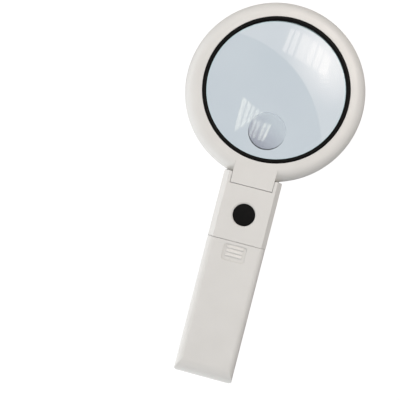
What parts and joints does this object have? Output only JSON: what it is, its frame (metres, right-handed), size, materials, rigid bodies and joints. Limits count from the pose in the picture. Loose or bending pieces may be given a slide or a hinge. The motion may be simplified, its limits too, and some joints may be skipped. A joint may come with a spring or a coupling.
{
  "type": "low vision magnifier",
  "caption": "Hand-held low vision magnifier: a round lens head with a strong reading spot folds on a flat handle with a push button, lamps and a slide-off battery cover.",
  "frame": {"origin": "on the table plane, in the middle of the magnifier's length and width, with the magnifier lying on its back", "axes": "+X across the magnifier, +Y along it from the handle to the lens head, +Z out of its front face"},
  "size_m": [0.1138, 0.2432, 0.0193],
  "materials": {
    "shell": "satin",
    "black_ring": "satin",
    "black_button": "matte",
    "rubber_seal": "matte",
    "lens": "gloss",
    "led_epoxy": "gloss",
    "circuit_board": "satin",
    "component_black": "satin",
    "plunger_white": "satin",
    "wire_red": "satin",
    "wire_black": "satin",
    "steel": "satin",
    "nickel": "satin",
    "brass": "satin",
    "battery_jacket": "satin"
  },
  "bodies": {
    "handle": {"handle_rear_shell": "shell", "handle_front_cover": "shell", "handle_screws": "steel", "hinge_pins": "steel", "hinge_washers": "steel", "pin_terminals": "brass", "switch_body": "component_black", "switch_board": "circuit_board", "board_screws": "steel", "switch_spring": "steel", "battery_1": "battery_jacket", "battery_2": "battery_jacket", "battery_3": "battery_jacket", "battery_contacts": "nickel", "contact_springs": "nickel", "positive_wire": "wire_red", "negative_wire": "wire_black"},
    "head": {"head_front_shell": "shell", "head_rear_shell": "shell", "lens_retaining_ring": "black_ring", "lens_gasket": "rubber_seal", "main_lens": "lens", "reading_spot_lens": "lens", "leds": "led_epoxy", "led_board": "circuit_board", "led_resistors": "component_black", "head_wires": "wire_red", "head_screws": "steel", "hinge_bushes": "brass"},
    "button": {"push_button": "black_button", "switch_plunger": "plunger_white"},
    "cover": {"battery_cover": "shell"}
  },
  "joints": [
    {"name": "head_fold", "type": "hinge", "parent": "handle", "child": "head", "pos_m": [0, 0.0057, 0.003], "axis": [-1, 0, 0], "range_deg": [0, 180]},
    {"name": "button_press", "type": "slide", "parent": "handle", "child": "button", "axis": [0, 0, -1], "range_m": [0, 0.0015], "stiffness_N_per_m": 600, "springref_m": -0.001, "deforming": ["switch_spring"]},
    {"name": "cover_slide", "type": "slide", "parent": "handle", "child": "cover", "axis": [0, -1, 0], "range_m": [0, 0.092]}
  ]
}
